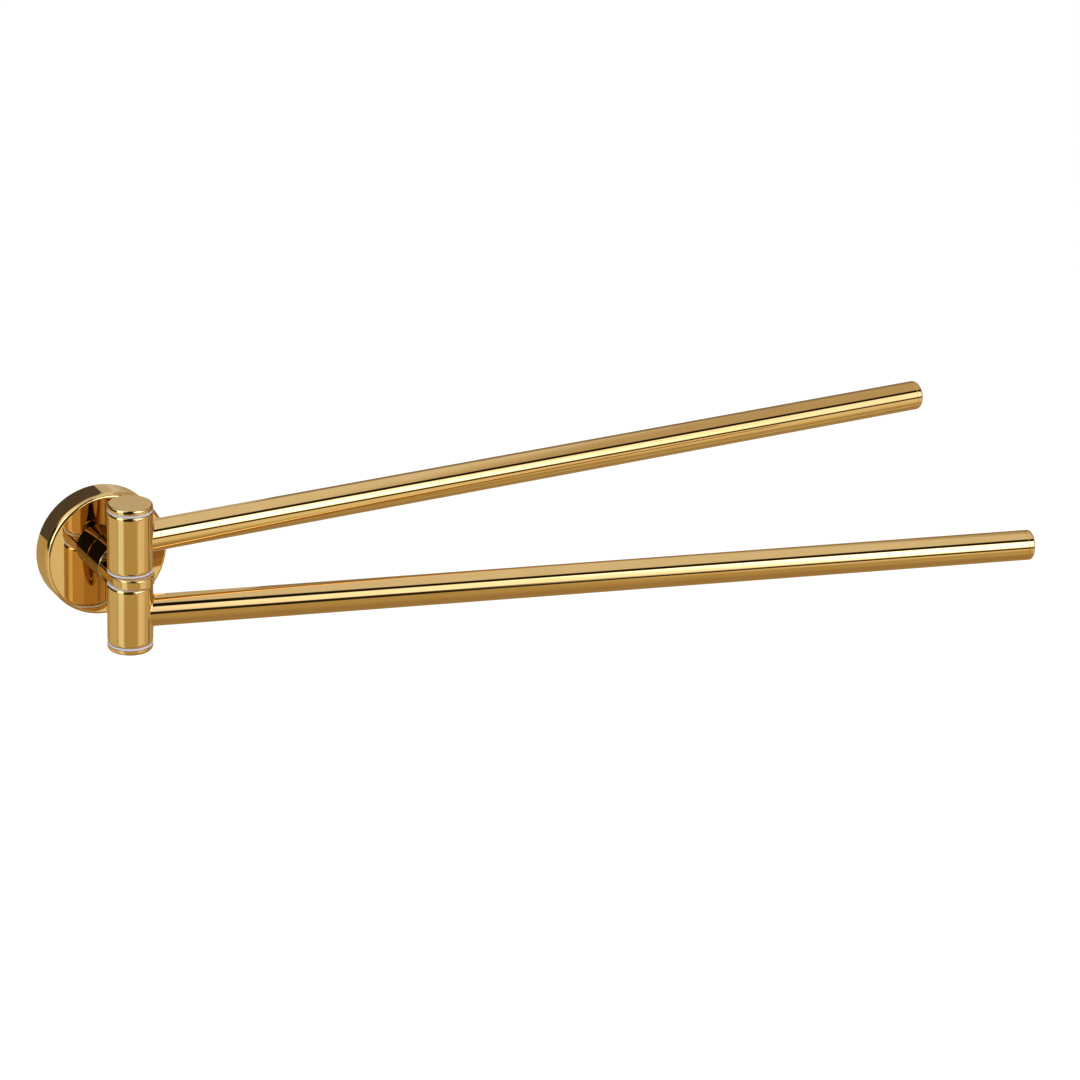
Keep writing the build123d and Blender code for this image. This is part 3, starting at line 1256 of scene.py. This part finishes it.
@dataclass(frozen=True)
class Patch:
    """A soft-edged patch of the studio, as polished metal sees it.

    Azimuths run from straight out of the wall towards +X, in degrees.  Each edge has its own
    softness, half the width over which the patch fades out.
    """

    name: str
    colour: Colour
    azimuth: Span
    azimuth_soft: Span
    height: Span
    height_soft: Span
    measure: Measure = Measure.ELEVATION


SOOT: Colour = (0.02, 0.018, 0.015)
UMBER: Colour = (0.03, 0.025, 0.02)
HORIZON: Colour = (0.02, 0.016, 0.01)
FLAG: Colour = (0.008, 0.007, 0.006)
TILT = Measure.TILT

PATCHES = (
    Patch("cap_sky", (0.53, 0.50, 0.43), (153.0, 160.3), (2.0, 0.6), (-5.0, 60.0), (1.0, 20.0)),
    Patch("back_dark", (0.08, 0.067, 0.058), (160.5, 216.0), (0.8, 1.0), (-5.0, 60.0), (1.0, 20.0)),
    Patch("end_dark", UMBER, (97.0, 138.0), (6.0, 4.0), (-14.0, 21.0), (5.0, 6.0)),
    Patch("left_far_dark", UMBER, (-143.0, -88.0), (3.0, 4.0), (-6.0, 28.0), (2.0, 5.0)),
    Patch("front_left_dark", SOOT, (-54.0, -4.0), (4.0, 3.0), (1.0, 40.0), (3.0, 5.0)),
    Patch("overhead_dark", SOOT, (-36.0, 0.0), (8.0, 4.0), (36.0, 86.0), (5.0, 4.0)),
    Patch("left_strip", (0.80, 0.83, 0.70), (-83.0, -54.0), (5.0, 7.0), (-62.0, 6.0), (8.0, 3.0)),
    Patch("left_glow", (0.57, 0.49, 0.30), (-144.0, -88.0), (4.0, 4.0), (-60.0, -6.0), (8.0, 3.0)),
    Patch("right_dark", (0.53, 0.45, 0.27), (60.0, 96.0), (3.0, 4.0), (-60.0, 0.0), (8.0, 5.0)),
    Patch("right_line", (0.04, 0.03, 0.02), (81.5, 89.0), (1.5, 1.5), (-60.0, 0.0), (8.0, 5.0)),
    Patch("floor_glow", (0.76, 0.70, 0.50), (17.5, 57.0), (6.0, 5.0), (-40.0, 0.0), (16.0, 2.0), TILT),
    Patch("floor_gloss", (0.76, 0.66, 0.44), (6.0, 30.0), (4.0, 20.0), (-19.0, 0.0), (6.0, 2.0), TILT),
    Patch("front_dark_skirt", SOOT, (-54.0, -8.0), (3.0, 4.0), (-16.0, 4.0), (2.0, 3.0)),
    Patch("horizon", HORIZON, (-12.0, 70.0), (8.0, 10.0), (-7.5, 3.0), (1.5, 3.0), TILT),
    Patch("left_upper", (0.95, 0.98, 0.95), (-140.0, -40.0), (5.0, 4.0), (38.0, 66.0), (6.0, 4.0)),
    Patch("left_softbox", (2.4, 2.4, 2.35), (-87.0, -60.0), (3.0, 3.0), (4.0, 46.0), (2.0, 5.0)),
    Patch("softbox", (1.30, 1.30, 1.30), (-2.0, 55.0), (5.0, 12.0), (5.5, 45.0), (4.0, 2.5), TILT),
    Patch("softbox_core", (3.2, 3.2, 3.2), (8.5, 35.0), (2.5, 5.0), (9.0, 42.5), (3.0, 2.0), TILT),
    Patch("flag", FLAG, (-38.0, 130.0), (8.0, 40.0), (45.5, 62.5), (1.5, 2.5), TILT),
    Patch("flag_left", FLAG, (-38.0, 16.0), (8.0, 4.0), (47.5, 74.0), (1.5, 2.5), TILT),
    Patch("horizon_left", HORIZON, (-12.0, 4.0), (8.0, 3.0), (-5.0, 11.0), (1.5, 2.5), TILT),
)


@dataclass(frozen=True)
class Surroundings:
    """The room round the object: white to the camera, plain to matt surfaces, staged for polish.

    The spans are in degrees, but for fade_span, which counts the mirrorings that a ray has been
    through: deep reflections of reflections fade towards black.
    """

    ground: Colour = (0.34, 0.25, 0.13)
    near_ground: Colour = (0.45, 0.36, 0.17)
    ground_span: Span = (-70.0, -25.0)
    ceiling: Colour = (0.70, 0.69, 0.63)
    far_ceiling: Colour = (0.48, 0.415, 0.30)
    ceiling_span: Span = (26.5, 31.5)
    horizon_span: Span = (-3.0, 3.0)
    plain: Colour = (0.86, 0.86, 0.86)
    fade_span: Span = (1.2, 4.6)
    fade_end: float = 0.08

    def build(self) -> None:
        """Build the world's shader."""
        world = bpy.data.worlds.new("studio")
        bpy.context.scene.world = world
        world.use_nodes = True
        sheet = Sheet(world.node_tree)
        way = sheet.node("ShaderNodeSeparateXYZ")
        sheet.feed(way.inputs[0], sheet.node("ShaderNodeTexCoord").outputs["Generated"])
        east, north, up = way.outputs
        out = sheet.math("MULTIPLY", north, -1.0)
        azimuth = sheet.math("DEGREES", sheet.math("ARCTAN2", east, out))
        measures = {
            Measure.ELEVATION: sheet.math("DEGREES", sheet.math("ARCSINE", up)),
            Measure.TILT: sheet.math("DEGREES", sheet.math("ARCTAN2", up, out)),
            Measure.SIDE: sheet.math("DEGREES", sheet.math("ARCSINE", east)),
        }
        elevation = measures[Measure.ELEVATION]
        below = sheet.blend(sheet.step(elevation, *self.ground_span), self.ground, self.near_ground)
        far_off = sheet.step(measures[Measure.SIDE], *self.ceiling_span)
        above = sheet.blend(far_off, self.ceiling, self.far_ceiling)
        seen = sheet.blend(sheet.step(elevation, *self.horizon_span), below, above)
        for patch in PATCHES:
            mask = self.between(sheet, measures[patch.measure], patch.height, patch.height_soft)
            side = self.around(sheet, azimuth, patch)
            seen = sheet.blend(sheet.math("MULTIPLY", mask, side), seen, patch.colour)
            seen.node.label = patch.name
        path = sheet.node("ShaderNodeLightPath")
        fade = sheet.step(path.outputs["Glossy Depth"], *self.fade_span, 0.0, 1.0 - self.fade_end)
        seen = sheet.blend(fade, seen, BLACK)
        mirrored, through = path.outputs["Is Glossy Ray"], path.outputs["Is Transmission Ray"]
        seen = sheet.blend(sheet.math("MAXIMUM", mirrored, through), self.plain, seen)
        seen = sheet.blend(path.outputs["Is Camera Ray"], seen, WHITE)
        sheet.feed(world.node_tree.nodes["Background"].inputs["Color"], seen)

    @staticmethod
    def between(sheet: Sheet, value: object, span: Span, soft: Span) -> bpy.types.NodeSocket:
        """A mask that is 1 inside a span and falls off softly at each end.

        Args:
            sheet: The tree that gets the nodes.
            value: The measured value.
            span: The span's two ends.
            soft: How far the fall-off reaches at each end.

        Returns:
            The mask.
        """
        low = sheet.step(value, span[0] - soft[0], span[0] + soft[0])
        high = sheet.step(value, span[1] - soft[1], span[1] + soft[1], 1.0, 0.0)
        return sheet.math("MULTIPLY", low, high)

    def around(self, sheet: Sheet, azimuth: object, patch: Patch) -> bpy.types.NodeSocket:
        """A patch's mask round the object, measured from the patch's own middle.

        Args:
            sheet: The tree that gets the nodes.
            azimuth: The azimuth in degrees.
            patch: The patch.

        Returns:
            The mask.
        """
        middle = sum(patch.azimuth) / 2
        half = patch.azimuth[1] - middle
        offset = sheet.math("WRAP", sheet.math("SUBTRACT", azimuth, middle), -180.0, 180.0)
        return self.between(sheet, offset, (-half, half), patch.azimuth_soft)


def panel(name: str, corners: list[Vector], finish: bpy.types.Material) -> bpy.types.Object:
    """Make a flat four-sided piece of the stage.

    Args:
        name: Its name.
        corners: Its four corners in order, in metres.
        finish: Its material.

    Returns:
        The panel, linked to the scene.
    """
    mesh = bpy.data.meshes.new(name)
    mesh.from_pydata(corners, [], [(0, 1, 2, 3)])
    mesh.materials.append(finish)
    made = bpy.data.objects.new(name, mesh)
    bpy.context.scene.collection.objects.link(made)
    return made


def matt(name: str, colour: Colour, glow: Colour) -> tuple[bpy.types.Material, bpy.types.NodeSocket]:
    """Make a matt material that can glow.

    Args:
        name: Its name.
        colour: Its own colour.
        glow: The colour of its glow.

    Returns:
        The material, and the socket that takes the strength of its glow.
    """
    made = bpy.data.materials.new(name)
    made.use_nodes = True
    shader = made.node_tree.nodes["Principled BSDF"]
    shader.inputs["Base Color"].default_value = rgba(colour)
    shader.inputs["Roughness"].default_value = MATT_ROUGHNESS
    shader.inputs["Specular IOR Level"].default_value = 0.0
    shader.inputs["Emission Color"].default_value = rgba(glow)
    return made, shader.inputs["Emission Strength"]


@dataclass(frozen=True)
class Floor:
    """The pale floor far below the bar."""

    drop: float = 0.62
    half_size: float = 6.0
    colour: Colour = (0.88, 0.88, 0.88)
    lift: float = 0.26

    def build(self, lowest: float) -> None:
        """Lay the floor.

        Args:
            lowest: The height of the object's lowest point.
        """
        half = self.half_size
        height = lowest - self.drop
        ways = ((-half, -half), (half, -half), (half, half), (-half, half))
        floor = panel("floor", [Vector((x, y, height)) for x, y in ways], self.material())
        floor.visible_glossy = False
        floor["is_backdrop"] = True

    def material(self) -> bpy.types.Material:
        """Make a matt white that the camera sees lifted where no shadow falls.

        Returns:
            The floor's material.
        """
        made, strength = matt("floor_white", self.colour, WHITE)
        sheet = Sheet(made.node_tree)
        path = sheet.node("ShaderNodeLightPath")
        sheet.feed(strength, sheet.math("MULTIPLY", path.outputs["Is Camera Ray"], self.lift))
        return made


@dataclass(frozen=True)
class BackCard:
    """A tan card behind the arms, seen only where their polished backs mirror it."""

    behind: float = 0.2
    left: float = 0.165
    right: float = 0.95
    bottom: float = -0.2
    top: float = 0.17
    colour: Colour = (0.28, 0.22, 0.15)

    def build(self) -> None:
        """Stand the card upright, parallel to the wall."""
        made, strength = matt("card_tan", BLACK, self.colour)
        strength.default_value = 1.0
        spots = (
            (self.left, self.bottom),
            (self.right, self.bottom),
            (self.right, self.top),
            (self.left, self.top),
        )
        card = panel("back_card", [Vector((x, self.behind, z)) for x, z in spots], made)
        card.visible_camera = False
        card.visible_diffuse = False
        card.visible_transmission = False
        card.visible_shadow = False
        card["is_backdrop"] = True


@dataclass(frozen=True)
class SoftLamp:
    """A large soft lamp that aims at the object."""

    name: str
    place: Vector
    size: float
    power: float

    def build(self, target: Vector) -> None:
        """Hang the lamp.

        Args:
            target: The point that it aims at.
        """
        data = bpy.data.lights.new(self.name, "AREA")
        data.shape = "SQUARE"
        data.size = self.size
        data.energy = self.power
        lamp = bpy.data.objects.new(self.name, data)
        bpy.context.scene.collection.objects.link(lamp)
        lamp.location = self.place
        lamp.rotation_euler = (target - self.place).to_track_quat("-Z", "Y").to_euler()
        lamp.visible_glossy = False


KEY_LAMP = SoftLamp("key_lamp", place=Vector((0.9, -1.3, 1.6)), size=1.2, power=9.0)
LAMP_TARGET = Vector((0.2, 0.0, 0.0))


def main() -> None:
    """Build the object and its studio."""
    logging.basicConfig(level=logging.INFO, format="%(message)s")
    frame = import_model()
    cad_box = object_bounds()
    shop = Workshop(frame, Finishes(), Lathe())
    WallFlange().build(shop)
    Neck().build(shop)
    Column().build(shop)
    SwingArm(Body.UPPER_ARM, "upper", angle=3.4).build(shop)
    SwingArm(Body.LOWER_ARM, "lower", angle=-12.3).build(shop)
    low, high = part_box("pivot_spindle")
    Viewpoint().build(Vector(((low.x + high.x) / 2, (low.y + high.y) / 2, 0.0)))
    Surroundings().build()
    Floor().build(cad_box[0][2])
    BackCard().build()
    KEY_LAMP.build(LAMP_TARGET)
    bpy.context.scene.view_settings.view_transform = "Standard"


if __name__ == "__main__":
    main()
